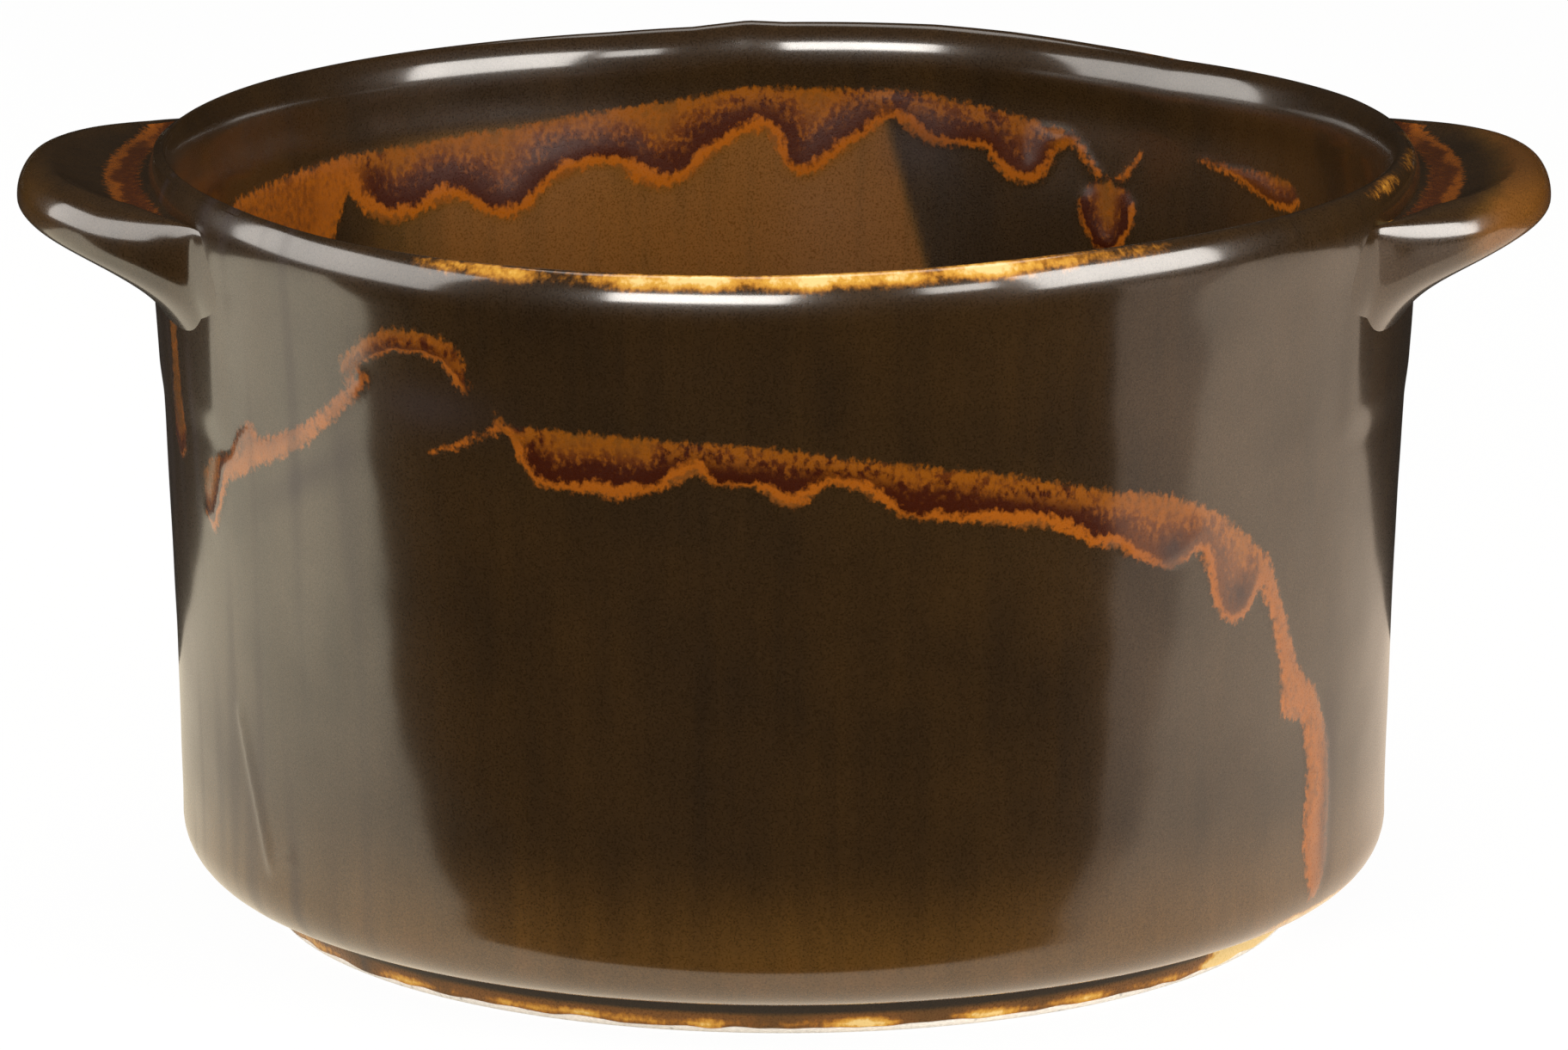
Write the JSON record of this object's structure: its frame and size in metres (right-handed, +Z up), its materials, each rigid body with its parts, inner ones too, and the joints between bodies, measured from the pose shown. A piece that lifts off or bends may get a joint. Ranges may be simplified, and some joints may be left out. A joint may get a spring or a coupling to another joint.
{
  "type": "ramekin",
  "caption": "Round straight-walled stoneware ramekin with small side lugs, a rolled rim, a turned foot ring and a dark reactive glaze that runs in drips.",
  "frame": {"origin": "centre of the foot ring on the table plane", "axes": "+Z up along the bowl's axis, +X through the right-hand lug, -Y towards the picture's camera"},
  "size_m": [0.108, 0.09, 0.055],
  "materials": {
    "clay": "bare fired stoneware, matt",
    "slip": "fired clay slip, matt, hidden under the lugs",
    "first_glaze": "glossy dark brown-olive reactive glaze",
    "run_glaze": "glossy rust and amber second coat, run in drips",
    "lug_glaze": "glossy brown glaze, pooled rust at the root"
  },
  "bodies": {
    "root": {"clay_cup": "clay", "left_lug": "clay", "right_lug": "clay", "left_lug_slip": "slip", "right_lug_slip": "slip", "first_glaze_outside": "first_glaze", "first_glaze_inside": "first_glaze", "foot_well_glaze": "first_glaze", "left_lug_glaze": "lug_glaze", "right_lug_glaze": "lug_glaze", "run_glaze_outside": "run_glaze", "run_glaze_inside": "run_glaze"}
  },
  "joints": []
}
